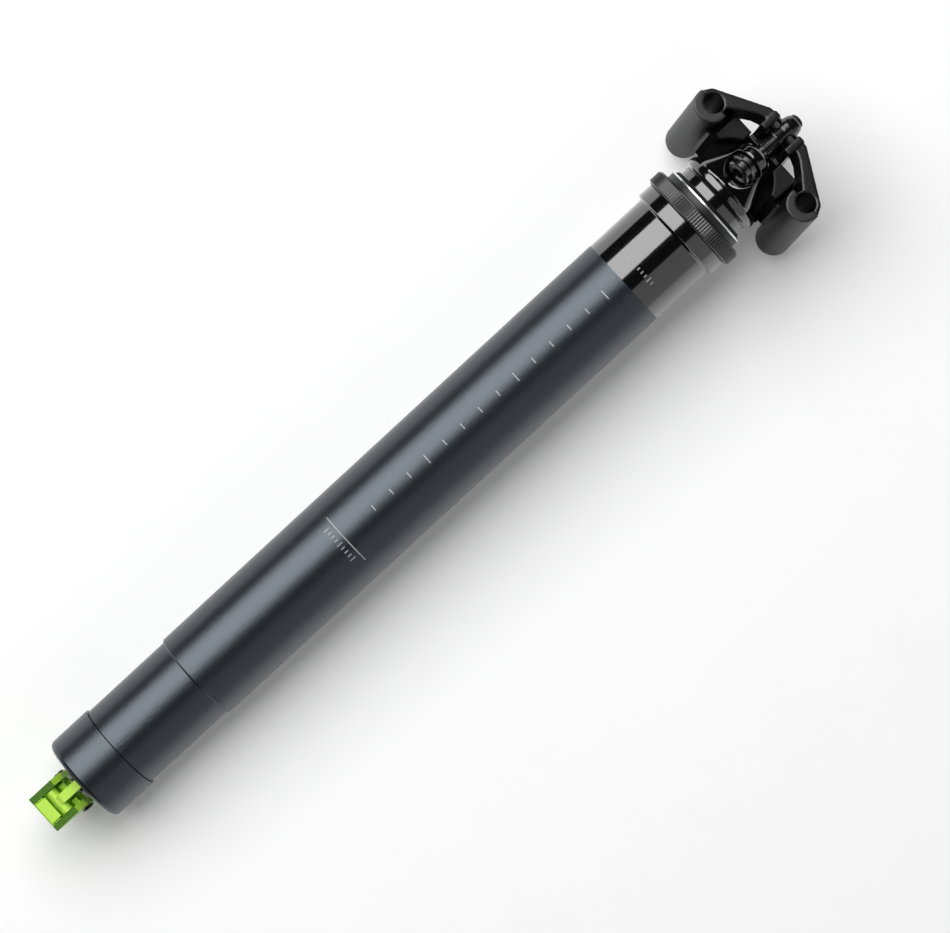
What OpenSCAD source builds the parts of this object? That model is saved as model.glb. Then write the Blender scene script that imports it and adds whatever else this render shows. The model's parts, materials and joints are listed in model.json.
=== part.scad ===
// Dropper seatpost, shown fully compressed.
// Z runs along the tube towards the saddle clamp, z = 0 is the shoulder that rests on the frame.
// -Y is the rear of the bicycle, +X its right side.

/* [Outer tube] */
// Outer diameter of the tube, the seat tube size it slides into
tube_d = 31.6; // [31.4:0.1:34.9]
// Bore of the outer tube
tube_bore = 28; // [27.6:0.1:28.2]
// Stroke of the post
travel = 180; // [120:5:210]
// Tube length below the shoulder that is not stroke
guide_len = 29.2; // [27:0.1:36]
// Diameter of the stepped lower end
foot_d = 30.1; // [29.8:0.1:31.3]
// Length of the stepped lower end
foot_len = 33.2; // [32:0.1:45]
// Diameter of the shoulder
flange_d = 34.3; // [33.6:0.1:36]
// Height of the shoulder
flange_h = 5.8; // [5:0.1:8]
// Width of a guide groove in the bore
groove_w = 2.6; // [2:0.1:3.4]

/* [Bottom cap] */
// Diameter of the bottom cap
cap_d = 31.5; // [30:0.1:33]
// Height of the bottom cap below the tube
cap_h = 16.5; // [14:0.1:24]
// Width of the rounding on the lower edge of the cap
cap_chamfer = 2.6; // [1:0.1:3.5]

/* [Seal collar] */
// Diameter over the knurl
collar_d = 36.7; // [35:0.1:39]
// Height of the collar
collar_h = 5.35; // [5.2:0.05:7]
// Number of ridges in the knurl
knurl_count = 114; // [60:1:140]
// Depth of the knurl
knurl_depth = 0.4; // [0.2:0.05:0.6]
// Height of the wiper above the collar
wiper_h = 4; // [3.4:0.1:5]

/* [Stanchion] */
// Outer diameter of the sliding tube
post_d = 26.4; // [26:0.1:26.6]
// Bore of the sliding tube
post_bore = 22.9; // [22.6:0.1:23.2]
// Height of the seam between sliding tube and head
seam_z = 18; // [17:0.1:24]
// Length of a brass guide key
key_len = 16; // [10:0.5:20]

/* [Cartridge] */
// Outer diameter of the cartridge
cart_d = 20; // [19:0.1:21]
// Bore of the cartridge
cart_bore = 17; // [16:0.1:17.6]
// Diameter of the piston rod
rod_d = 8; // [7:0.1:8.6]
// Diameter of the release pushrod inside the rod
pushrod_d = 3.5; // [2.5:0.1:4]

/* [Head] */
// Largest diameter of the bell
bell_d = 29.2; // [28:0.1:31]
// Radius of the boss at each bolt
boss_r = 6; // [5.8:0.1:6.4]
// Distance of the rear bolt seat centre behind the post axis
rear_seat_y = 18.7; // [18.4:0.1:20]
// Height of the rear bolt seat centre above the seam
rear_seat_h = 10.5; // [10:0.1:11]
// Distance of the front bolt seat centre ahead of the post axis
front_seat_y = 19; // [18.8:0.1:21]
// Height of the front bolt seat centre above the seam
front_seat_h = 0.1; // [0:0.1:1]
// Height of the rocker axis above the seam
rocker_h = 13; // [12.6:0.1:14]
// Radius of the rocker under the cradle
rocker_r = 8.8; // [8:0.1:9]

/* [Clamp] */
// Tilt of the clamp at rest, rear end up
rest_tilt = 17.5; // [14:0.5:20]
// Distance between the two saddle rails
rail_gap = 43; // [42.8:0.1:45]
// Diameter of a saddle rail
rail_d = 7; // [6.6:0.1:7.4]
// Length of the rail cups
cup_len = 44; // [40:0.5:48]
// Half width of a rail cup
cup_r = 5.8; // [5.5:0.1:6.2]
// Width of the spine of the upper clamp
spine_w = 13.4; // [13:0.1:16]
// Distance of each barrel nut from the middle of the clamp
nut_y = 16; // [15.5:0.1:16.5]
// Height of each barrel nut above the rail centres
nut_h = 12.4; // [12:0.1:13]
// Diameter of a barrel nut
nut_d = 8.5; // [7.6:0.1:9]

/* [Bolts] */
// Thread diameter of the clamp bolts
bolt_d = 5; // [4.6:0.1:5.2]
// Thread pitch of the clamp bolts
bolt_pitch = 1; // [0.7:0.1:1]
// Flange diameter of the bolt heads
bolt_flange_d = 10.2; // [9:0.1:10.4]
// Diameter of the half-round bolt washers
washer_d = 8.8; // [8.2:0.1:9]
// Reach of the rear bolt above its seat centre
rear_reach = 26.5; // [26:0.5:30]
// Reach of the front bolt above its seat centre
front_reach = 29.5; // [28:0.5:31]

/* [Actuator] */
// Width of the release lever
lever_w = 13.65; // [13:0.05:16]
// Height of the lever below the cap
lever_h = 15.7; // [15.6:0.1:18]
// Thickness of a lever cheek
cheek_t = 2.2; // [1.6:0.1:2.4]
// Distance of the lever pivot ahead of the post axis
pivot_y = 8; // [7.9:0.1:8.8]
// Diameter of the lever pivot pin
pivot_d = 3; // [2.4:0.1:3.4]
// Diameter of the cable anchor barrel
anchor_d = 4.1; // [3.6:0.1:4.2]
// Bore for the end of the cable housing
housing_d = 4.1; // [3.6:0.1:5]

/* [Fits] */
// Radial clearance of running fits
run_fit = 0.05; // [0.03:0.01:0.1]
// Radial clearance of screwed and seated fits
seat_fit = 0.02; // [0.01:0.01:0.04]
// Radial clearance of a bolt in its barrel nut
nut_fit = 0.35; // [0.3:0.05:0.5]

/* [Hidden] */
$fn = 64;
step_z = -(travel + guide_len);
foot_z = step_z - foot_len;
cap_z = foot_z - cap_h;
post_r = post_d / 2;
bore_r = tube_bore / 2;
post_z = step_z - 18.8;
groove_r = bore_r + 0.6;
collar_top = flange_h + collar_h;
spigot_top = collar_top - 1.5;
spigot_r = bore_r + 1.6;
counter_r = bore_r + 0.6;
wiper_r = spigot_r - 0.5;
wiper_top = collar_top + wiper_h;
knurl_in = collar_d / 2 - knurl_depth - 0.15;
cap_spigot_z = foot_z + 9.9;
recess_z = cap_z + 3;
plate_z = recess_z - 2.4;
key_z = step_z + 0.2;
upper_bush_z = key_z + key_len + travel + 1;
counter_z = flange_h - 1.8;
cart_r = cart_d / 2;
cart_in = cart_bore / 2;
rod_r = rod_d / 2;
gland_z = post_z + 2;
gland_top = gland_z + 8.5;
piston_z = gland_top + travel + 1.5;
piston_top = piston_z + 12;
float_z = piston_top + 4.5;
cart_top = float_z + 21;
rod_end = plate_z - 2.9;
push_end = rod_end - 1.4;
head_spigot_z = cart_top + 4;
rocker_z = seam_z + rocker_h;
saddle_r = rocker_r + 0.1;
cradle_top = 5;
panel_drop = 4.6;
cap_seat_r = 6.4;
flange_at = 3.2;
boss_from = flange_at + 0.9;
rear_seat = [-rear_seat_y, seam_z + rear_seat_h];
front_seat = [front_seat_y, seam_z + front_seat_h];
rear_nut = [for_y(-nut_y, nut_h), for_z(-nut_y, nut_h)];
front_nut = [for_y(nut_y, nut_h), for_z(nut_y, nut_h)];
rear_lean = atan2(rear_nut[0] - rear_seat[0], rear_nut[1] - rear_seat[1]);
front_lean = atan2(front_nut[0] - front_seat[0], front_nut[1] - front_seat[1]);
bolt_r = bolt_d / 2;
fork_w = nut_d + 0.1;
pin_r = nut_d / 2 - 1.65;
nut_r = nut_d / 2 - 0.7;
lever_z = cap_z - lever_h;
pivot_z = cap_z - 5.5;
pivot_r = pivot_d / 2;
anchor_r = anchor_d / 2;
anchor_y = -6.6;
anchor_z = lever_z + 6.5;
cheek_x = lever_w / 2 - cheek_t;
tongue_w = 3.1;
rail_r = rail_d / 2;
rail_x = rail_gap / 2;
panel_x = rail_x - 7.3;

// place of a clamp point (y, z) in the frame of the post
function for_y(y, z) = y * cos(rest_tilt) + z * sin(rest_tilt);
function for_z(y, z) = rocker_z - y * sin(rest_tilt) + z * cos(rest_tilt);

module ring(ro, ri, z0, z1) {
  translate([0, 0, z0])
    difference() {
      cylinder(r = ro, h = z1 - z0);
      translate([0, 0, -1])
        cylinder(r = ri, h = z1 - z0 + 2);
    }
}

module rod_x(r, half) {
  rotate([0, 90, 0])
    cylinder(r = r, h = 2 * half, center = true);
}

module in_clamp() {
  translate([0, 0, rocker_z])
    rotate([-rest_tilt, 0, 0])
      children();
}

module at_seat(seat, lean) {
  translate([0, seat[0], seat[1]])
    rotate([-lean, 0, 0])
      children();
}

// plate cut from a (y, z) outline, between two x values
module side_plate(x0, x1) {
  translate([x0, 0, 0])
    rotate([90, 0, 90])
      linear_extrude(x1 - x0)
        children();
}

module outer_tube() {
  color([0.11, 0.12, 0.14])
    difference() {
      rotate_extrude()
        polygon([[bore_r, foot_z], [foot_d / 2, foot_z], [foot_d / 2, step_z], [tube_d / 2, step_z],
          [tube_d / 2, 0], [flange_d / 2, 0.3], [flange_d / 2, flange_h], [spigot_r, flange_h],
          [spigot_r, spigot_top], [counter_r, spigot_top], [counter_r, counter_z], [bore_r, counter_z]]);
      for (a = [90, 210, 330])
        rotate([0, 0, a])
          translate([bore_r - 2, -groove_w / 2, step_z])
            cube([groove_r - bore_r + 2, groove_w, counter_z - step_z]);
    }
}

module bottom_cap() {
  color([0.12, 0.13, 0.15])
    rotate_extrude()
      polygon([[rod_r + seat_fit, recess_z], [10, recess_z], [10, cap_z], [cap_d / 2 - cap_chamfer, cap_z],
        [cap_d / 2 - 0.45 * cap_chamfer, cap_z + 0.1 * cap_chamfer],
        [cap_d / 2 - 0.13 * cap_chamfer, cap_z + 0.33 * cap_chamfer],
        [cap_d / 2, cap_z + 0.7 * cap_chamfer], [cap_d / 2, foot_z], [bore_r - seat_fit, foot_z],
        [bore_r - seat_fit, cap_spigot_z - 3.6], [bore_r - 1.5, cap_spigot_z - 3.6],
        [bore_r - 1.5, cap_spigot_z - 1.7], [bore_r - seat_fit, cap_spigot_z - 1.7],
        [bore_r - seat_fit, cap_spigot_z], [rod_r + seat_fit, cap_spigot_z]]);
}

module bottom_cap_o_ring() {
  color([0.03, 0.03, 0.03])
    ring(bore_r - seat_fit, bore_r - 1.5, cap_spigot_z - 3.55, cap_spigot_z - 1.75);
}

module seal_collar() {
  color([0.14, 0.14, 0.15])
    difference() {
      union() {
        translate([0, 0, flange_h + 0.5])
          linear_extrude(collar_h - 1.1)
            polygon([for (i = [0 : 2 * knurl_count - 1])
              (collar_d / 2 - knurl_depth * (i % 2)) * [cos(180 * i / knurl_count), sin(180 * i / knurl_count)]]);
        rotate_extrude()
          polygon([[wiper_r, flange_h], [knurl_in - 0.3, flange_h], [knurl_in, flange_h + 0.3],
            [knurl_in, collar_top - 0.3], [knurl_in - 0.3, collar_top], [wiper_r, collar_top]]);
      }
      translate([0, 0, flange_h - 1])
        cylinder(r = spigot_r + seat_fit, h = spigot_top - flange_h + 1.7);
      translate([0, 0, flange_h - 1])
        cylinder(r = wiper_r + seat_fit, h = collar_h + 2);
    }
}

module wiper_seal() {
  color([0.05, 0.05, 0.05])
    rotate_extrude()
      polygon([[post_r + 0.6, spigot_top], [spigot_r, spigot_top], [spigot_r, spigot_top + 0.65],
        [wiper_r, spigot_top + 0.65], [wiper_r, wiper_top - 1.95], [wiper_r - 0.5, wiper_top - 1.8],
        [wiper_r - 0.5, wiper_top - 1.2], [post_r + 0.5, wiper_top], [post_r + run_fit, wiper_top],
        [post_r + run_fit, wiper_top - 0.7], [post_r + 0.6, wiper_top - 1.6]]);
}

module wiper_ring() {
  color([0.85, 0.86, 0.88])
    ring(wiper_r + 0.4, wiper_r - 0.5 + seat_fit, wiper_top - 1.78, wiper_top - 1.22);
}

module stanchion_seal() {
  color([0.2, 0.2, 0.22])
    ring(counter_r - seat_fit, post_r + run_fit, counter_z + 0.02, spigot_top - 0.1);
}

module upper_bushing() {
  color([0.35, 0.33, 0.28])
    ring(bore_r - seat_fit, post_r + run_fit, upper_bush_z, counter_z);
}

module bottom_out_bumper() {
  color([0.15, 0.15, 0.15])
    ring(post_r - 0.2, rod_r + 1, cap_spigot_z, post_z - 0.4);
}

module cartridge_rod() {
  color([0.7, 0.71, 0.73])
    ring(rod_r, pushrod_d / 2 + 0.15, rod_end, piston_top);
}

module main_piston() {
  color([0.72, 0.6, 0.3])
    rotate_extrude()
      polygon([[rod_r + seat_fit, piston_z], [cart_in - run_fit, piston_z], [cart_in - run_fit, piston_z + 5],
        [cart_in - 1.8, piston_z + 5], [cart_in - 1.8, piston_z + 7], [cart_in - run_fit, piston_z + 7],
        [cart_in - run_fit, piston_top], [rod_r + seat_fit, piston_top]]);
}

module piston_seal() {
  color([0.06, 0.06, 0.06])
    ring(cart_in - 0.03, cart_in - 1.8, piston_z + 5.05, piston_z + 6.95);
}

module rod_lock_nut() {
  color([0.6, 0.6, 0.62])
    translate([0, 0, plate_z - 2.6])
      difference() {
        cylinder(d = 11.2, h = 2.6, $fn = 6);
        translate([0, 0, -1])
          cylinder(r = rod_r + seat_fit, h = 5);
      }
}

module actuator_bracket() {
  color([0.52, 0.74, 0.16])
    difference() {
      union() {
        translate([0, 0, plate_z])
          cylinder(r = 9.8, h = recess_z - plate_z);
        side_plate(-tongue_w / 2, tongue_w / 2)
          polygon([[-9, plate_z + 1], [-9, anchor_z + 1.4], [-8.4, anchor_z - 0.7], [anchor_y - 1, anchor_z - 1.1],
            [anchor_y + 1, anchor_z - 1.1], [-4.8, anchor_z - 0.7], [-4.4, anchor_z + 1.4], [-4.4, plate_z - 4],
            [-5.4, plate_z - 3], [-5.4, plate_z + 1]]);
        for (s = [-1, 1])
          side_plate(s * (cheek_x - 1.8) - 1.5, s * (cheek_x - 1.8) + 1.5)
            union() {
              translate([pivot_y, pivot_z])
                circle(r = pivot_r + 1.4);
              translate([pivot_y - pivot_r - 1.4, pivot_z])
                square([2.8 + 1.4 * pivot_r / 1.5, plate_z + 1 - pivot_z]);
            }
      }
      translate([0, 0, plate_z - 1])
        cylinder(r = rod_r + seat_fit, h = 5);
      translate([0, anchor_y, anchor_z])
        rod_x(anchor_r + seat_fit, 3);
      translate([0, pivot_y, pivot_z])
        rod_x(pivot_r + seat_fit, 9);
    }
}

module lever_pivot_pin() {
  color([0.55, 0.55, 0.57])
    translate([0, pivot_y, pivot_z])
      rotate([0, 90, 0])
        rotate_extrude()
          polygon([[0, -lever_w / 2 - 0.95], [pivot_r, -lever_w / 2 - 0.95], [pivot_r, -lever_w / 2 - 0.7],
            [pivot_r - 0.4, -lever_w / 2 - 0.7], [pivot_r - 0.4, -lever_w / 2 - 0.15],
            [pivot_r, -lever_w / 2 - 0.15], [pivot_r, lever_w / 2 + 0.15], [pivot_r - 0.4, lever_w / 2 + 0.15],
            [pivot_r - 0.4, lever_w / 2 + 0.7], [pivot_r, lever_w / 2 + 0.7], [pivot_r, lever_w / 2 + 0.95],
            [0, lever_w / 2 + 0.95]]);
}

module pivot_clips() {
  color([0.12, 0.12, 0.12])
    for (s = [-1, 1])
      translate([s * (lever_w / 2 + 0.425), pivot_y, pivot_z])
        difference() {
          rod_x(pivot_r + 0.7, 0.25);
          rod_x(pivot_r - 0.4 + seat_fit, 1);
          translate([-1, -0.6, -pivot_r - 2])
            cube([2, 1.2, pivot_r + 2]);
        }
}

module cable_anchor_barrel() {
  color([0.55, 0.78, 0.2])
    translate([0, anchor_y, anchor_z])
      difference() {
        rod_x(anchor_r, cheek_x - 0.3);
        cylinder(r = 0.8, h = 9, center = true);
        translate([cheek_x, 0, 0])
          rod_x(1.25, 3.2);
      }
}

module anchor_grub_screw() {
  color([0.15, 0.15, 0.16])
    translate([cheek_x - 1.8, anchor_y, anchor_z])
      difference() {
        rod_x(1.25 - seat_fit, 1.35);
        translate([1.35, 0, 0])
          rotate([0, 90, 0])
            cylinder(r = 0.75, h = 2, center = true, $fn = 6);
      }
}

module actuator_lever() {
  color([0.62, 0.85, 0.22])
    difference() {
      union() {
        for (s = [-1, 1])
          side_plate(s * (lever_w - cheek_t) / 2 - cheek_t / 2, s * (lever_w - cheek_t) / 2 + cheek_t / 2)
            union() {
              polygon([[-9.4, lever_z + 0.4], [-9, lever_z], [-3.4, lever_z], [pivot_y + 1.6, pivot_z - 2.4],
                [pivot_y, pivot_z + 2.2], [-4.5, pivot_z + 2.3], [-9.4, pivot_z - 0.8]]);
              translate([pivot_y, pivot_z])
                circle(r = pivot_r + 1.4);
            }
        translate([-cheek_x - 0.1, -9, lever_z])
          cube([2 * cheek_x + 0.2, 5.6, 3.7]);
        translate([-cheek_x + 0.7, -9.7, lever_z + 0.5])
          cube([2 * cheek_x - 1.4, 2, 3.9]);
        translate([-cheek_x - 0.1, 2.2, lever_z + 2.6])
          cube([2 * cheek_x + 0.2, 1.6, pivot_z - lever_z - 2]);
        translate([-cheek_x - 0.1, -2.1, pivot_z - 1.6])
          cube([2 * cheek_x + 0.2, 4.2, 2.4]);
        translate([0, 0, pivot_z - 1])
          cylinder(r = 1.7, h = push_end - pivot_z + 0.95);
      }
      translate([-cheek_x, -8.9, lever_z + 2.5])
        cube([2 * cheek_x, 4.8, 4]);
      translate([0, anchor_y, lever_z - 1])
        cylinder(d = housing_d, h = 2.8);
      translate([0, anchor_y, lever_z])
        cylinder(r = 0.8, h = 5);
      translate([0, pivot_y, pivot_z])
        rod_x(pivot_r + run_fit, 12);
    }
}

module release_pushrod() {
  color([0.75, 0.75, 0.78])
    union() {
      translate([0, 0, push_end + pushrod_d / 2])
        cylinder(d = pushrod_d, h = piston_top - push_end - pushrod_d / 2);
      translate([0, 0, push_end + pushrod_d / 2])
        sphere(d = pushrod_d);
    }
}

module valve_poppet() {
  color([0.65, 0.55, 0.28])
    translate([0, 0, piston_top])
      rotate_extrude()
        polygon([[0, 0], [rod_r - 0.6, 0], [rod_r - 0.6, 0.9], [rod_r - 1.4, 1.6], [0, 1.6]]);
}

module stanchion_tube() {
  color([0.06, 0.06, 0.065])
    difference() {
      ring(post_r, post_bore / 2, post_z, seam_z);
      translate([0, 0, post_z + 0.4])
        ring(post_r + 1, post_r - 0.3, 0, 17.2);
      translate([0, 0, post_z + 0.5])
        cylinder(r = post_bore / 2 + 0.5, h = 1.4);
      for (a = [90, 210, 330])
        rotate([0, 0, a])
          translate([post_r - 0.8, -groove_w / 2 + run_fit, key_z])
            cube([3, groove_w - 2 * run_fit, key_len]);
    }
}

module lower_bushing() {
  color([0.35, 0.33, 0.28])
    ring(bore_r - run_fit, post_r - 0.3, post_z + 0.42, post_z + 17.58);
}

module guide_keys() {
  color([0.8, 0.63, 0.28])
    for (a = [90, 210, 330])
      rotate([0, 0, a])
        translate([post_r - 0.8, -groove_w / 2 + run_fit, key_z])
          cube([groove_r - post_r + 0.5, groove_w - 2 * run_fit, key_len]);
}

module stanchion_circlip() {
  color([0.2, 0.2, 0.2])
    difference() {
      ring(post_bore / 2 + 0.45, post_bore / 2 - 1.5, post_z + 0.6, post_z + 1.8);
      translate([-2, 0, post_z])
        cube([4, 20, 4]);
    }
}

module cartridge_body() {
  color([0.5, 0.51, 0.53])
    ring(cart_r, cart_in, gland_z + 3, cart_top);
}

module cartridge_gland() {
  color([0.62, 0.63, 0.65])
    difference() {
      union() {
        translate([0, 0, gland_z])
          cylinder(r = post_bore / 2 - 0.05, h = 3);
        translate([0, 0, gland_z])
          cylinder(r = cart_in - seat_fit, h = gland_top - gland_z);
      }
      translate([0, 0, gland_z - 1])
        cylinder(r = rod_r + run_fit, h = 12);
      translate([0, 0, gland_z + 4])
        cylinder(r = rod_r + 1.6, h = 2);
    }
}

module rod_seal() {
  color([0.06, 0.06, 0.06])
    ring(rod_r + 1.58, rod_r + 0.03, gland_z + 4.05, gland_z + 5.95);
}

module cartridge_top_plug() {
  color([0.62, 0.63, 0.65])
    rotate_extrude()
      polygon([[0, cart_top - 6], [cart_in - seat_fit, cart_top - 6], [cart_in - seat_fit, cart_top],
        [cart_r, cart_top], [cart_r, head_spigot_z], [4, head_spigot_z], [4, seam_z + 1.4], [0, seam_z + 1.4]]);
}

module cartridge_top_nut() {
  color([0.6, 0.6, 0.62])
    translate([0, 0, seam_z - 2.4])
      difference() {
        cylinder(d = 15, h = 3.6, $fn = 6);
        translate([0, 0, -1])
          cylinder(r = 4 + seat_fit, h = 6);
      }
}

module floating_piston() {
  color([0.6, 0.62, 0.66])
    rotate_extrude()
      polygon([[0, float_z], [cart_in - run_fit, float_z], [cart_in - run_fit, float_z + 2.5],
        [cart_in - 1.8, float_z + 2.5], [cart_in - 1.8, float_z + 4.5], [cart_in - run_fit, float_z + 4.5],
        [cart_in - run_fit, float_z + 7], [cart_in - 2.5, float_z + 7], [cart_in - 2.5, float_z + 5.5],
        [0, float_z + 5.5]]);
}

module floating_piston_seal() {
  color([0.06, 0.06, 0.06])
    ring(cart_in - 0.03, cart_in - 1.8, float_z + 2.55, float_z + 4.45);
}

// turned dome under the saddle clamp
module bell() {
  r = bell_d / 2;
  translate([0, 0, seam_z])
    rotate_extrude()
      polygon([[0, 0], [post_r, 0], [post_r + 0.1, 0.5], [r - 0.35, 1.1], [r, 2.3], [r - 0.3, 3.7],
        [r - 1.2, 4.9], [r - 2.7, 6.2], [r - 4.4, 7.7], [r - 5.8, 9.3], [0, 9.3]]);
}

// boss that carries a bolt seat, from above the seat centre to its rounded top
module boss(top) {
  for (step = [[0, 2.4], [0.8, 1.1], [2.4, 0]])
    translate([0, 0, boss_from])
      cylinder(r = boss_r - step[0], h = top - boss_from - step[1]);
}

// arm from the middle of the head out to a boss
module arm(seat, lean, top, root, half_x, tall) {
  hull($fn = 32) {
    at_seat(seat, lean)
      boss(top);
    translate([0, root[0], seam_z + root[1]])
      scale([half_x / root[2], 1, 1])
        cylinder(r = root[2], h = tall);
  }
}

// slotted hole and round seat across the boss for a bolt and its washer
module bolt_way(toward_rear, toward_front) {
  intersection() {
    rod_x(cap_seat_r + 0.1, 8);
    cylinder(r = washer_d / 2 + 0.85, h = 20);
  }
  translate([0, 0, -20])
    cylinder(r = bolt_flange_d / 2 + 0.65, h = 20 + boss_from);
  linear_extrude(30)
    union() {
      translate([0, -toward_rear])
        circle(r = bolt_r + 0.4);
      translate([0, toward_front])
        circle(r = bolt_r + 0.4);
      translate([-bolt_r - 0.4, -toward_rear])
        square([2 * bolt_r + 0.8, toward_rear + toward_front]);
    }
}

module head() {
  color([0.05, 0.05, 0.055])
    difference() {
      union() {
        bell();
        arm(rear_seat, rear_lean, 9.3, [-9.4, 4.2, 3.9], 10.6, 1.4);
        arm(front_seat, front_lean, 10.4, [3, 3, 8.4], 8.4, 4);
        translate([0, 0, head_spigot_z])
          cylinder(r = post_bore / 2 - seat_fit, h = seam_z - head_spigot_z + 1);
      }
      translate([0, 0, rocker_z])
        rod_x(saddle_r, 30);
      for (a = [-4:4.5:14])
        translate([0, 0, rocker_z])
          rotate([a - rest_tilt, 0, 0])
            translate([-15, -9.6, -panel_drop - 0.3])
              cube([30, 19.2, 15]);
      at_seat(rear_seat, rear_lean)
        bolt_way(1.4, 0.5);
      at_seat(front_seat, front_lean)
        bolt_way(1.2, 0.5);
      translate([0, 0, head_spigot_z - 1])
        cylinder(r = 4 + seat_fit, h = 20);
      translate([0, 0, seam_z - 2.4])
        cylinder(r = 7.8, h = 12);
    }
}

// outline of a rail cup across the rail
module cup_shape() {
  translate([0, -1.15])
    circle(r = cup_r);
  translate([-cup_r, -1.15])
    square([2 * cup_r, 1]);
}

module along_rails(len) {
  rotate([90, 0, 0])
    linear_extrude(len, center = true)
      children();
}

module lower_cradle() {
  color([0.16, 0.16, 0.17])
    in_clamp()
      difference() {
        union() {
          for (s = [-1, 1])
            translate([s * rail_x, 0, 0])
              along_rails(cup_len)
                intersection() {
                  cup_shape();
                  translate([-10, -10])
                    square([20, 9.85]);
                }
          difference() {
            along_rails(30)
              translate([-panel_x, -panel_drop])
                square([2 * panel_x, cradle_top + panel_drop]);
            for (s = [-1, 1])
              translate([0, s * 16.5, -10.4])
                rotate([90, 0, 0])
                  cylinder(r = 13.4, h = 15, center = true);
            for (s = [-1, 1])
              translate([-boss_r - 0.8, s * 16 - 6.8, -10])
                cube([2 * boss_r + 1.6, 13.6, 20]);
          }
          along_rails(22)
            for (s = [0, 1])
              mirror([s, 0])
                polygon([[panel_x - 0.5, -panel_drop], [rail_x, -panel_drop], [rail_x, -0.2], [rail_x - 4.5, -0.2],
                  [rail_x - 4.3, 2.1], [panel_x - 0.5, cradle_top - 0.2]]);
          intersection() {
            rod_x(rocker_r, 12.5);
            translate([-20, -20, -20])
              cube([40, 40, 20 + cradle_top]);
          }
        }
        for (s = [-1, 1])
          translate([s * rail_x, 0, 0])
            rotate([90, 0, 0])
              cylinder(r = rail_r, h = cup_len + 2, center = true);
      }
}

module upper_clamp() {
  side = [[spine_w / 2 + 1.6, 13.4], [rail_x + 3.9, 3.4], [rail_x + cup_r - 0.2, 0.3], [rail_x - 4.1, 0.3],
    [rail_x - 3.8, 2.4], [13.7, 5.7], [9.8, 8.6], [5.1, 10.4]];
  color([0.1, 0.1, 0.11])
    in_clamp()
      difference() {
        union() {
          along_rails(cup_len - 3)
            union() {
              polygon(concat([[0, 13.6]], side, [[0, 10.4]]));
              mirror([1, 0])
                polygon(concat([[0, 13.6]], side, [[0, 10.4]]));
            }
          translate([-spine_w / 2, -nut_y - 4.6, cradle_top + 2])
            cube([spine_w, 2 * nut_y + 9.2, 7]);
          translate([-spine_w / 2, -9.2, cradle_top + 0.3])
            cube([spine_w, 18.4, 7]);
        }
        for (s = [-1, 1])
          translate([s * (spine_w / 2 + 3.1) - 3.1, -11.2, 0])
            cube([6.2, 22.4, 20]);
        for (s = [-1, 1]) {
          translate([-fork_w / 2, s * (nut_y + 4) - 10.8, 0])
            cube([fork_w, 21.6, 30]);
          translate([0, s * nut_y, nut_h])
            rod_x(pin_r + run_fit, 15);
          translate([-15, s * nut_y - pin_r - run_fit, nut_h])
            cube([30, 2 * (pin_r + run_fit), 10]);
          translate([s * rail_x, 0, 0])
            rotate([90, 0, 0])
              cylinder(r = rail_r, h = cup_len + 2, center = true);
        }
      }
}

module clamp_bolt(reach) {
  turns = 16;
  start = reach - turns * bolt_pitch;
  difference() {
    rotate_extrude()
      polygon(concat([[0, -0.6], [3.9, -0.6], [4.3, -0.2], [4.3, 1.6], [bolt_flange_d / 2, 2],
        [bolt_flange_d / 2, flange_at], [bolt_r, flange_at], [bolt_r, start]],
        [for (i = [0 : turns - 1], k = [0, 1])
          [bolt_r - 0.55 * (1 - k), start + (i + 0.5 + 0.5 * k) * bolt_pitch]],
        [[bolt_r - 0.5, reach + 0.5], [0, reach + 0.5]]));
    translate([0, 0, -1])
      cylinder(d = 4.6, h = 2.8, $fn = 6);
  }
}

// half-round washer that swivels in the round seat of the head
module bolt_washer() {
  difference() {
    intersection() {
      rod_x(cap_seat_r, 6);
      translate([0, 0, flange_at])
        cylinder(d = washer_d, h = 6);
    }
    cylinder(r = bolt_r + 0.1, h = 20);
  }
}

module rear_clamp_bolt() {
  color([0.08, 0.08, 0.085])
    at_seat(rear_seat, rear_lean)
      clamp_bolt(rear_reach);
}

module rear_bolt_washer() {
  color([0.1, 0.1, 0.105])
    at_seat(rear_seat, rear_lean)
      bolt_washer();
}

module front_clamp_bolt() {
  color([0.08, 0.08, 0.085])
    at_seat(front_seat, front_lean)
      clamp_bolt(front_reach);
}

module front_bolt_washer() {
  color([0.1, 0.1, 0.105])
    at_seat(front_seat, front_lean)
      bolt_washer();
}

module barrel_nut(lean) {
  difference() {
    union() {
      rod_x(pin_r, spine_w / 2 - 0.2);
      rotate([-lean, 0, 0])
        rotate_extrude()
          polygon([[0, -4.6], [nut_r - 0.2, -4.6], [nut_r, -4.3], [nut_r, -3.3], [nut_r - 0.4, -3], [nut_r - 0.4, -0.9],
            [nut_r, -0.3], [nut_r + 0.1, 1.5], [nut_r, 3.2], [nut_r - 0.3, 4.4], [nut_r - 0.7, 5.2], [0, 5.6]]);
    }
    rotate([-lean, 0, 0])
      cylinder(r = bolt_r + nut_fit, h = 20, center = true);
  }
}

module rear_barrel_nut() {
  color([0.09, 0.09, 0.095])
    translate([0, rear_nut[0], rear_nut[1]])
      barrel_nut(rear_lean);
}

module front_barrel_nut() {
  color([0.09, 0.09, 0.095])
    translate([0, front_nut[0], front_nut[1]])
      barrel_nut(front_lean);
}

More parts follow.
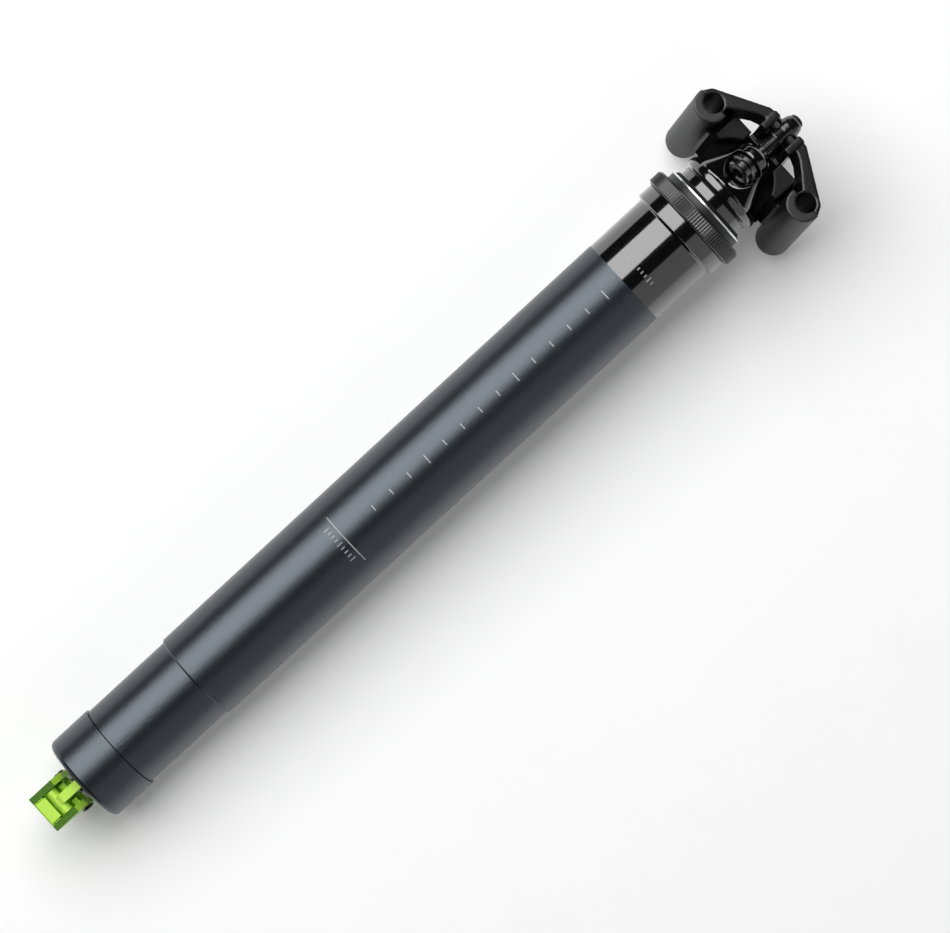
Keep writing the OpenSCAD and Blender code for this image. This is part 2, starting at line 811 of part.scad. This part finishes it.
outer_tube();
bottom_cap();
bottom_cap_o_ring();
seal_collar();
wiper_seal();
wiper_ring();
stanchion_seal();
upper_bushing();
bottom_out_bumper();
cartridge_rod();
main_piston();
piston_seal();
rod_lock_nut();
actuator_bracket();
lever_pivot_pin();
pivot_clips();
cable_anchor_barrel();
anchor_grub_screw();
stanchion_tube();
head();
cartridge_body();
cartridge_top_plug();
cartridge_top_nut();
cartridge_gland();
rod_seal();
lower_bushing();
guide_keys();
stanchion_circlip();
floating_piston();
floating_piston_seal();
lower_cradle();
upper_clamp();
rear_clamp_bolt();
rear_bolt_washer();
front_clamp_bolt();
front_bolt_washer();
rear_barrel_nut();
front_barrel_nut();
actuator_lever();
release_pushrod();
valve_poppet();
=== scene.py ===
import json
import math
import bpy
from mathutils import Matrix, Vector


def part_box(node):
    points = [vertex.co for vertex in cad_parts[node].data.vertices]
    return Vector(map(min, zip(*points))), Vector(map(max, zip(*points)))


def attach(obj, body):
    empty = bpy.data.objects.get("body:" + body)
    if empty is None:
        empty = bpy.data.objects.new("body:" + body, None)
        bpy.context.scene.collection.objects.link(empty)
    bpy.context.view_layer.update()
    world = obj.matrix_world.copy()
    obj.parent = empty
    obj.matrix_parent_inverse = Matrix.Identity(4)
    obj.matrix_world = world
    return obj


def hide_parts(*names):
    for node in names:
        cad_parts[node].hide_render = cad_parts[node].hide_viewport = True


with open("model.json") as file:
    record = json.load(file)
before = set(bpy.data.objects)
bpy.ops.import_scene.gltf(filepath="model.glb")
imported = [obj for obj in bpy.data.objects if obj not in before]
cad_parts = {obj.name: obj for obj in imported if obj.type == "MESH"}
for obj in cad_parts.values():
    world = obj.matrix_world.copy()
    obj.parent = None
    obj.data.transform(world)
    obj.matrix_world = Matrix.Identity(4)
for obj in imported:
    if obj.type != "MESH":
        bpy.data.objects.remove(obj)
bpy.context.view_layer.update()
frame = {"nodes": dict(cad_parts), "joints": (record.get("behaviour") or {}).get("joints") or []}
nodes = frame["nodes"]
joints = {joint["name"]: joint for joint in frame["joints"]}
mm = 0.001
crease = 32  # degrees, an edge that bends more stays sharp


def boxMm(node):
    return [[round(v / mm, 2) for v in corner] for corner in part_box(node)]


def mathNode(tree, operation, first, second):
    # a sum in a material, from sockets or plain numbers
    step = tree.nodes.new("ShaderNodeMath")
    step.operation = operation
    for socket, value in zip(step.inputs, (first, second)):
        if hasattr(value, "is_linked"):
            tree.links.new(value, socket)
        else:
            socket.default_value = value
    return step.outputs["Value"]


def mixShader(tree, factor, first, second):
    mix = tree.nodes.new("ShaderNodeMixShader")
    for socket, value in zip(mix.inputs, (factor, first, second)):
        tree.links.new(value, socket)
    return mix.outputs["Shader"]


# every finish has a cloudy tone between two colours and a fine grain
texture = {"detail": 4, "rampLow": 0.3, "rampHigh": 0.7, "grainDepth": 0.1}


def makeMaterial(name, look):
    mat = bpy.data.materials.new(name)
    mat.use_nodes = True
    tree = mat.node_tree
    bsdf = tree.nodes["Principled BSDF"]
    for socket, value in look["shader"].items():
        bsdf.inputs[socket].default_value = value
    coord = tree.nodes.new("ShaderNodeTexCoord")
    tone = tree.nodes.new("ShaderNodeTexNoise")
    tone.inputs["Scale"].default_value = look["toneScale"]
    tone.inputs["Detail"].default_value = texture["detail"]
    ramp = tree.nodes.new("ShaderNodeValToRGB")
    ramp.color_ramp.elements[0].position = texture["rampLow"]
    ramp.color_ramp.elements[1].position = texture["rampHigh"]
    ramp.color_ramp.elements[0].color = (*look["dark"], 1)
    ramp.color_ramp.elements[1].color = (*look["light"], 1)
    grain = tree.nodes.new("ShaderNodeTexNoise")
    grain.inputs["Scale"].default_value = look["grainScale"]
    bump = tree.nodes.new("ShaderNodeBump")
    bump.inputs["Strength"].default_value = look["bump"]
    bump.inputs["Distance"].default_value = texture["grainDepth"] * mm
    tree.links.new(coord.outputs["Object"], tone.inputs["Vector"])
    tree.links.new(coord.outputs["Object"], grain.inputs["Vector"])
    tree.links.new(tone.outputs["Fac"], ramp.inputs["Fac"])
    tree.links.new(ramp.outputs["Color"], bsdf.inputs["Base Color"])
    tree.links.new(grain.outputs["Fac"], bump.inputs["Height"])
    tree.links.new(bump.outputs["Normal"], bsdf.inputs["Normal"])
    return mat


# finishes, one look each
finishes = {
    "tubeBlack": {"shader": {"Roughness": 0.3, "Metallic": 0.0, "Specular IOR Level": 1.0,
                             "Specular Tint": (0.8, 0.9, 1.0, 1.0)},
                  "dark": (0.004, 0.0055, 0.0075), "light": (0.006, 0.008, 0.0105),
                  "toneScale": 2200, "grainScale": 2100, "bump": 0.75},
    "glossBlack": {"shader": {"Roughness": 0.12, "Metallic": 0.0, "Specular IOR Level": 0.9,
                              "Coat Weight": 1.0, "Coat Roughness": 0.05, "Coat IOR": 1.55},
                   "dark": (0.0015, 0.0015, 0.0018), "light": (0.0025, 0.0025, 0.003),
                   "toneScale": 300, "grainScale": 900, "bump": 0.02},
    "satinBlack": {"shader": {"Roughness": 0.26, "Metallic": 0.0, "Specular IOR Level": 0.8},
                   "dark": (0.006, 0.006, 0.0065), "light": (0.009, 0.009, 0.0095),
                   "toneScale": 1500, "grainScale": 4200, "bump": 0.15},
    "cradleBlack": {"shader": {"Roughness": 0.38, "Metallic": 0.0},
                    "dark": (0.005, 0.005, 0.0055), "light": (0.008, 0.008, 0.0085),
                    "toneScale": 1500, "grainScale": 4200, "bump": 0.15},
    "forgedBlack": {"shader": {"Roughness": 0.24, "Metallic": 0.0, "Specular IOR Level": 0.6},
                    "dark": (0.003, 0.003, 0.0034), "light": (0.005, 0.005, 0.0055),
                    "toneScale": 1200, "grainScale": 3600, "bump": 0.08},
    "boltBlack": {"shader": {"Roughness": 0.2, "Metallic": 0.0, "Specular IOR Level": 0.5,
                             "Coat Weight": 0.6, "Coat Roughness": 0.1, "Coat IOR": 1.5},
                  "dark": (0.003, 0.003, 0.0034), "light": (0.005, 0.005, 0.0055),
                  "toneScale": 900, "grainScale": 2500, "bump": 0.05},
    "boltGrey": {"shader": {"Roughness": 0.22, "Metallic": 1.0},
                 "dark": (0.13, 0.13, 0.135), "light": (0.18, 0.18, 0.185),
                 "toneScale": 900, "grainScale": 2500, "bump": 0.05},
    "brightRing": {"shader": {"Roughness": 0.25, "Metallic": 0.9},
                   "dark": (0.72, 0.73, 0.75), "light": (0.86, 0.87, 0.88),
                   "toneScale": 1200, "grainScale": 3000, "bump": 0.05},
    "rubber": {"shader": {"Roughness": 0.42, "Metallic": 0.0},
               "dark": (0.007, 0.007, 0.0075), "light": (0.012, 0.012, 0.0125),
               "toneScale": 1000, "grainScale": 3000, "bump": 0.1},
    "bushing": {"shader": {"Roughness": 0.5, "Metallic": 0.0},
                "dark": (0.15, 0.13, 0.1), "light": (0.2, 0.18, 0.14),
                "toneScale": 700, "grainScale": 3000, "bump": 0.1},
    "steel": {"shader": {"Roughness": 0.28, "Metallic": 1.0},
              "dark": (0.5, 0.5, 0.52), "light": (0.6, 0.6, 0.62),
              "toneScale": 900, "grainScale": 2600, "bump": 0.06},
    "alloy": {"shader": {"Roughness": 0.34, "Metallic": 1.0},
              "dark": (0.5, 0.51, 0.53), "light": (0.58, 0.59, 0.61),
              "toneScale": 900, "grainScale": 2600, "bump": 0.08},
    "brass": {"shader": {"Roughness": 0.3, "Metallic": 1.0},
              "dark": (0.66, 0.5, 0.2), "light": (0.76, 0.6, 0.27),
              "toneScale": 900, "grainScale": 2600, "bump": 0.06},
    "lime": {"shader": {"Roughness": 0.17, "Metallic": 0.85},
             "dark": (0.32, 0.62, 0.045), "light": (0.38, 0.7, 0.06),
             "toneScale": 900, "grainScale": 3200, "bump": 0.08},
    # lighter satin lime: the bracket's and barrel's own finish, and painted light on the lever's plate and
    # shoulders
    "limeSatinAndPaintedLight": {"shader": {"Roughness": 0.42, "Metallic": 0.25},
                  "dark": (0.4, 0.68, 0.06), "light": (0.47, 0.74, 0.08),
                  "toneScale": 900, "grainScale": 3600, "bump": 0.1},
    # a dark copy of the lime, painted shade for the fronts of the lever's cheeks
    "limePaintedShade": {"shader": {"Roughness": 0.45, "Metallic": 0.2, "Specular IOR Level": 0.2},
                 "dark": (0.05, 0.14, 0.009), "light": (0.062, 0.165, 0.013),
                 "toneScale": 900, "grainScale": 3600, "bump": 0.1},
    "markGrey": {"shader": {"Roughness": 0.5, "Metallic": 0.0},
                 "dark": (0.3, 0.31, 0.32), "light": (0.38, 0.39, 0.4),
                 "toneScale": 2500, "grainScale": 4000, "bump": 0.05},
}
mats = {name: makeMaterial(name, look) for name, look in finishes.items()}
print("stage: finishes", len(mats))

# the finish of every CAD node
nodeFinish = {
    "outer_tube": "tubeBlack", "bottom_cap": "tubeBlack", "bottom_cap_o_ring": "rubber",
    "seal_collar": "satinBlack", "wiper_seal": "rubber", "wiper_ring": "brightRing",
    "stanchion_seal": "rubber", "upper_bushing": "bushing", "bottom_out_bumper": "rubber",
    "cartridge_rod": "steel", "main_piston": "brass", "piston_seal": "rubber",
    "rod_lock_nut": "boltBlack", "actuator_bracket": "limeSatinAndPaintedLight", "lever_pivot_pin": "steel",
    "pivot_clips": "boltBlack", "cable_anchor_barrel": "limeSatinAndPaintedLight", "anchor_grub_screw": "boltBlack",
    "stanchion_tube": "glossBlack", "head": "glossBlack", "cartridge_body": "alloy",
    "cartridge_top_plug": "alloy", "cartridge_top_nut": "steel", "cartridge_gland": "alloy",
    "rod_seal": "rubber", "lower_bushing": "bushing", "guide_keys": "brass", "stanchion_circlip": "steel",
    "floating_piston": "alloy", "floating_piston_seal": "rubber", "lower_cradle": "cradleBlack",
    "upper_clamp": "forgedBlack", "rear_clamp_bolt": "boltGrey", "rear_bolt_washer": "boltBlack",
    "front_clamp_bolt": "boltGrey", "front_bolt_washer": "boltBlack", "rear_barrel_nut": "boltBlack",
    "front_barrel_nut": "boltBlack", "actuator_lever": "lime", "release_pushrod": "steel",
    "valve_poppet": "brass",
}
for name, obj in nodes.items():
    obj.data.materials.clear()
    obj.data.materials.append(mats[nodeFinish[name]])
    obj.data.polygons.foreach_set("use_smooth", [True] * len(obj.data.polygons))
    obj.data.set_sharp_from_angle(angle=math.radians(crease))
print("stage: CAD nodes finished")

# the lever's proud plate and upward sloping shoulders get the lighter satin green as painted light, and the
# fronts of its two cheeks that face -y get a dark green copy as painted shade
leverLook = {"front": boxMm("actuator_lever")[0][1], "plate": 0.2, "edge": 0.6, "cheekX": 4.6,
             "slope": 0.3, "facing": -0.6}
lever = nodes["actuator_lever"]
lever.data.materials.append(mats["limeSatinAndPaintedLight"])
lever.data.materials.append(mats["limePaintedShade"])
for poly in lever.data.polygons:
    depth = poly.center.y / mm - leverLook["front"]
    onCheek = abs(poly.center.x) > leverLook["cheekX"] * mm
    # plate and upward faces: lighter satin green, painted light
    if depth < leverLook["plate"] or (onCheek and poly.normal.z > leverLook["slope"]):
        poly.material_index = 1
    # cheek fronts facing -y: dark green copy, painted shade
    elif onCheek and depth < leverLook["edge"] and poly.normal.y < leverLook["facing"]:
        poly.material_index = 2
print("stage: lever faces")

# the inner webs of the lower cradle get painted shade, their specular reflection taken away and their
# roughness raised, its rail cups keep the satin level and its end faces get a painted highlight from a
# stronger specular level
cradle = {"lean": 17.5, "axisZ": joints["clamp_tilt"]["pos_m"][2] / mm, "halfX": 15.6, "halfY": 12.1,
          "under": -4.2, "endY": 21.7, "satin": 0.24, "webPaintedShade": -0.24, "bright": 0.5, "webRough": 0.5}


def shadeCradle(tree):
    shader = tree.nodes["Principled BSDF"].inputs
    place = tree.nodes.new("ShaderNodeTexCoord")
    axes = tree.nodes.new("ShaderNodeSeparateXYZ")
    tree.links.new(place.outputs["Object"], axes.inputs["Vector"])
    x, y, z = axes.outputs
    leanCos = math.cos(math.radians(cradle["lean"]))
    leanSin = math.sin(math.radians(cradle["lean"]))

    def calc(operation, first, second=0.0):
        return mathNode(tree, operation, first, second)

    # along and height are measured in the tilted cradle, from its rocking axis
    rise = calc("SUBTRACT", z, cradle["axisZ"] * mm)
    along = calc("SUBTRACT", calc("MULTIPLY", y, leanCos), calc("MULTIPLY", rise, leanSin))
    along = calc("ABSOLUTE", along)
    height = calc("ADD", calc("MULTIPLY", y, leanSin), calc("MULTIPLY", rise, leanCos))
    middle = calc("LESS_THAN", along, cradle["halfY"] * mm)
    below = calc("LESS_THAN", height, cradle["under"] * mm)
    between = calc("LESS_THAN", calc("ABSOLUTE", x), cradle["halfX"] * mm)
    # web masks the inner webs, which get painted shade; end masks the end faces, which get a painted
    # highlight
    web = calc("MULTIPLY", calc("MAXIMUM", middle, below), between)
    end = calc("GREATER_THAN", along, cradle["endY"] * mm)
    lift = calc("ADD", calc("MULTIPLY", web, cradle["webPaintedShade"]), calc("MULTIPLY", end, cradle["bright"]))
    rough = calc("ADD", calc("MULTIPLY", web, cradle["webRough"]), shader["Roughness"].default_value)
    tree.links.new(calc("ADD", lift, cradle["satin"]), shader["Specular IOR Level"])
    tree.links.new(rough, shader["Roughness"])


shadeCradle(mats["cradleBlack"].node_tree)
print("stage: cradle webs")


def addMesh(name, verts, faces, finish, faceMats=None, sharp=crease):
    mesh = bpy.data.meshes.new(name)
    mesh.from_pydata(verts, [], faces)
    for mat in finish:
        mesh.materials.append(mat)
    if faceMats:
        mesh.polygons.foreach_set("material_index", faceMats)
    mesh.polygons.foreach_set("use_smooth", [True] * len(mesh.polygons))
    mesh.set_sharp_from_angle(angle=math.radians(sharp))
    obj = bpy.data.objects.new(name, mesh)
    bpy.context.collection.objects.link(obj)
    return obj


def ringPoint(r, angle, z):
    return (r * mm * math.cos(angle), r * mm * math.sin(angle), z * mm)


def ringFaces(turns, rows):
    # quads between neighbouring copies of a closed profile, all the way round
    faces = []
    for i in range(turns):
        j = (i + 1) % turns
        for k in range(rows):
            m = (k + 1) % rows
            faces.append((i * rows + k, j * rows + k, j * rows + m, i * rows + m))
    return faces


# outer tube, anodised below and polished from the band up to the mouth
tubeLow, tubeHigh = boxMm("outer_tube")
collarLow, collarHigh = boxMm("seal_collar")
tube = {"r": 15.8, "foot": 15.05, "bore": 14.0, "stepZ": -209.2, "footZ": tubeLow[2], "bandZ": -21.75,
        "flange": tubeHigh[0], "flangeTop": collarLow[2], "spigot": 15.6, "spigotTop": tubeHigh[2],
        "counter": 14.6, "counterZ": 4.0, "footEdge": 0.25, "stepEdge": 0.6, "stepGap": 0.02,
        "polish": 0.02, "polishEdge": 0.12, "filletR": 0.25, "filletZ": 0.35,
        "lipR": 0.3, "lipZ": 0.28, "lipTop": 0.6, "flangeEdge": 0.35, "turns": 160}
bandFoot = (tube["r"], tube["bandZ"] - tube["polishEdge"])
tubeProfile = [
    (tube["bore"], tube["footZ"]),
    (tube["foot"] - tube["footEdge"], tube["footZ"]),
    (tube["foot"], tube["footZ"] + tube["footEdge"]),
    (tube["foot"], tube["stepZ"] - tube["stepGap"]),
    (tube["r"] - tube["stepEdge"], tube["stepZ"]),
    (tube["r"], tube["stepZ"] + tube["stepEdge"]),
    bandFoot,
    (tube["r"] - tube["polish"], tube["bandZ"]),
    (tube["r"] - tube["polish"], -tube["filletZ"]),
    (tube["r"] + tube["filletR"], 0.0),
    (tube["flange"] - tube["lipR"], tube["lipZ"]),
    (tube["flange"], tube["lipTop"]),
    (tube["flange"], tube["flangeTop"] - tube["flangeEdge"]),
    (tube["flange"] - tube["flangeEdge"], tube["flangeTop"]),
    (tube["spigot"], tube["flangeTop"]),
    (tube["spigot"], tube["spigotTop"]),
    (tube["counter"], tube["spigotTop"]),
    (tube["counter"], tube["counterZ"]),
    (tube["bore"], tube["counterZ"])]
tubeVerts = []
for i in range(tube["turns"]):
    angle = 2 * math.pi * i / tube["turns"]
    tubeVerts += [ringPoint(r, angle, z) for r, z in tubeProfile]
polishFrom = tubeProfile.index(bandFoot)
tubeZones = [0 if k < polishFrom else 1 for k in range(len(tubeProfile))] * tube["turns"]
outerTube = addMesh("outerTube", tubeVerts, ringFaces(tube["turns"], len(tubeProfile)),
                    [mats["tubeBlack"], mats["glossBlack"]], tubeZones)
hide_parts("outer_tube")
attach(outerTube, "outer")
print("stage: outer tube")

# knurled collar: shallow ridges between two plain rims
collar = {"tip": collarHigh[0], "depth": 0.19, "rim": 17.8, "count": 114, "tipShare": 0.12, "rootShare": 0.06,
          "z": collarLow[2], "top": collarHigh[2], "bore": 15.62, "lip": 15.12, "lipZ": 10.35, "edge": 0.3,
          "rimLow": 0.42, "ridgeLow": 0.6, "ridgeHigh": 0.7, "rimHigh": 0.52, "sharp": 20}
ridged = None  # stands in a profile where the radius goes from tip to root
collarProfile = [
    (collar["bore"], collar["z"]),
    (collar["rim"] - collar["edge"], collar["z"]),
    (collar["rim"], collar["z"] + collar["edge"]),
    (collar["rim"], collar["z"] + collar["rimLow"]),
    (ridged, collar["z"] + collar["ridgeLow"]),
    (ridged, collar["top"] - collar["ridgeHigh"]),
    (collar["rim"], collar["top"] - collar["rimHigh"]),
    (collar["rim"], collar["top"] - collar["edge"]),
    (collar["rim"] - collar["edge"], collar["top"]),
    (collar["lip"], collar["top"]),
    (collar["lip"], collar["lipZ"]),
    (collar["bore"], collar["lipZ"])]
rootR = collar["tip"] - collar["depth"]
ridge = [(-collar["tipShare"] / 2, collar["tip"]), (collar["tipShare"] / 2, collar["tip"]),
         (0.5 - collar["rootShare"] / 2, rootR), (0.5 + collar["rootShare"] / 2, rootR)]
collarVerts = []
for i in range(collar["count"]):
    for share, knurlR in ridge:
        angle = 2 * math.pi / collar["count"] * (i + share)
        collarVerts += [ringPoint(knurlR if r is ridged else r, angle, z) for r, z in collarProfile]
collarFaces = ringFaces(collar["count"] * len(ridge), len(collarProfile))
knurledCollar = addMesh("knurledCollar", collarVerts, collarFaces, [mats["satinBlack"]],
                        sharp=collar["sharp"])
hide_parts("seal_collar")
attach(knurledCollar, "outer")
print("stage: collar")

# plain height ticks, the insertion line and two rows of fine ticks
marks = {"lift": 0.03, "step": 0.4, "scaleX": -0.4, "scaleTop": -29.0, "pitch": 7.7, "count": 14,
         "longEvery": 5, "shortW": 2.2, "longW": 3.4, "tickH": 0.42,
         "lineX": 0.8, "lineZ": -142.4, "lineW": 19.6, "lineH": 0.34}
lineRow = {"x": -5.6, "z": marks["lineZ"] - 2.6, "count": 9, "pitch": 1.6, "w": 0.36, "shortH": 1.5,
           "longH": 2.2, "longEvery": 4}
bandRow = {"x": -7.2, "z": -15.6, "count": 10, "pitch": 1.6, "w": 0.34, "shortH": 1.2,
           "longH": 2.0, "longEvery": 4}


def fineTicks(row):
    return [(row["x"] + row["pitch"] * i, row["z"], row["w"],
             row["shortH"] if i % row["longEvery"] else row["longH"]) for i in range(row["count"])]


def mark(name, strokes):
    # thin printed strokes wrapped on the tube: (x centre, z centre, width, height) in mm, seen from the rear
    radius = tube["r"] + marks["lift"]
    verts, faces = [], []
    for x, z, w, h in strokes:
        steps = max(2, int(w / marks["step"]))
        base = len(verts)
        for i in range(steps + 1):
            a = (x + w * (i / steps - 0.5)) / radius
            for dz in (-h / 2, h / 2):
                verts.append((radius * math.sin(a) * mm, -radius * math.cos(a) * mm, (z + dz) * mm))
        for i in range(steps):
            b = base + 2 * i
            faces.append((b, b + 2, b + 3, b + 1))
    return addMesh(name, verts, faces, [mats["markGrey"]])


scale = [(marks["scaleX"], marks["scaleTop"] - i * marks["pitch"],
          marks["shortW"] if i % marks["longEvery"] else marks["longW"], marks["tickH"])
         for i in range(marks["count"])]
insertionLine = (marks["lineX"], marks["lineZ"], marks["lineW"], marks["lineH"])
printMarks = mark("printMarks", scale + [insertionLine] + fineTicks(lineRow))
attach(printMarks, "outer")
bandMarks = mark("bandMarks", fineTicks(bandRow))
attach(bandMarks, "outer")
print("stage: marks")

# forged and machined pieces get softened edges
soften = {"voxel": 0.3, "factor": 0.5, "rounds": {"head": 8, "lower_cradle": 4, "upper_clamp": 4}}
for name, rounds in soften["rounds"].items():
    remesh = nodes[name].modifiers.new("soften", "REMESH")
    remesh.mode = "VOXEL"
    remesh.voxel_size = soften["voxel"] * mm
    remesh.use_smooth_shade = True
    smooth = nodes[name].modifiers.new("round", "SMOOTH")
    smooth.factor = soften["factor"]
    smooth.iterations = rounds
print("stage: softened pieces")

# white paper that leans with the post, a little behind it at the foot and further at the head
paper = {"footY": 16.2, "footZ": -258.9, "headY": 26.5, "headZ": 30.0, "half": 2.4, "glow": 0.14,
         "look": {"shader": {"Roughness": 0.9, "Metallic": 0.0, "Specular IOR Level": 0.1},
                  "dark": (0.93, 0.93, 0.93), "light": (0.94, 0.94, 0.94),
                  "toneScale": 40, "grainScale": 400, "bump": 0.02}}


def paperPoint(x, z):
    lean = (paper["headY"] - paper["footY"]) / (paper["headZ"] - paper["footZ"])
    return (x, (paper["footY"] - paper["footZ"] * lean) * mm + z * lean, z)


def lightPaper(tree):
    # lifted towards white where it is looked at, clear from behind
    ray = tree.nodes.new("ShaderNodeLightPath").outputs
    looked = mathNode(tree, "ADD", ray["Is Camera Ray"], ray["Is Glossy Ray"])
    looked = mathNode(tree, "ADD", looked, ray["Is Transmission Ray"])
    looked.node.use_clamp = True
    glow = mathNode(tree, "MULTIPLY", looked, paper["glow"])
    white = tree.nodes.new("ShaderNodeEmission").outputs["Emission"]
    clear = tree.nodes.new("ShaderNodeBsdfTransparent").outputs["BSDF"]
    behind = tree.nodes.new("ShaderNodeNewGeometry").outputs["Backfacing"]
    lifted = mixShader(tree, glow, tree.nodes["Principled BSDF"].outputs["BSDF"], white)
    shown = mixShader(tree, behind, lifted, clear)
    tree.links.new(shown, tree.nodes["Material Output"].inputs["Surface"])


sheetCorners = [(-1, -1), (1, -1), (1, 1), (-1, 1)]
paperMat = makeMaterial("paper", paper["look"])
lightPaper(paperMat.node_tree)
backdrop = addMesh("backdrop", [paperPoint(x * paper["half"], z * paper["half"]) for x, z in sheetCorners],
                   [(0, 1, 2, 3)], [paperMat])
print("stage: paper")

# lamps stand round the middle of the post: angles in degrees, lengths in metres, power in watts
lamps = {"softbox": {"az": -31.5, "el": 4, "dist": 1.5, "width": 1.5, "height": 2.2, "power": 39},
         "panel": {"az": 80, "el": 4, "dist": 1.2, "width": 2.8, "height": 2.2, "power": 9.4}}
lampAim = Vector((0, 0, -0.1))
room = {"tone": (1, 1, 1, 1), "strength": 0.012}


def outward(az, el, dist):
    a, e = math.radians(az), math.radians(el)
    return Vector((math.sin(a) * math.cos(e), -math.cos(a) * math.cos(e), math.sin(e))) * dist


def addArea(name, look):
    lamp = bpy.data.lights.new(name, "AREA")
    lamp.shape = "RECTANGLE"
    lamp.size = look["width"]
    lamp.size_y = look["height"]
    lamp.energy = look["power"]
    obj = bpy.data.objects.new(name, lamp)
    obj.location = lampAim + outward(look["az"], look["el"], look["dist"])
    obj.rotation_euler = (lampAim - obj.location).to_track_quat("-Z", "Y").to_euler()
    bpy.context.collection.objects.link(obj)


for name, look in lamps.items():
    addArea(name, look)
world = bpy.data.worlds.new("room")
bpy.context.scene.world = world
world.use_nodes = True
world.node_tree.nodes["Background"].inputs["Color"].default_value = room["tone"]
world.node_tree.nodes["Background"].inputs["Strength"].default_value = room["strength"]

# camera from the rear, rolled so that the post lies across the picture
view = {"target": Vector((0.0112, 0.0, -0.097)), "az": 2.0, "el": 2.26, "dist": 1.65, "lens": 194.7,
        "sensor": 36, "clip": 0.05, "roll": 42.657743}
camData = bpy.data.cameras.new("camera")
camData.lens = view["lens"]
camData.sensor_width = view["sensor"]
camData.clip_start = view["clip"]
cam = bpy.data.objects.new("camera", camData)
bpy.context.collection.objects.link(cam)
back = outward(view["az"], view["el"], 1.0)
right0 = (-back).cross(Vector((0, 0, 1))).normalized()
up0 = right0.cross(-back).normalized()
roll = math.radians(view["roll"])
right = right0 * math.sin(roll) + up0 * math.cos(roll)
up = up0 * math.sin(roll) - right0 * math.cos(roll)
turn = Matrix((right, up, back)).transposed().to_4x4()
cam.matrix_world = Matrix.Translation(view["target"] + back * view["dist"]) @ turn
bpy.context.scene.camera = cam
bpy.context.scene.view_settings.view_transform = "Standard"
print("stage: camera and lamps")
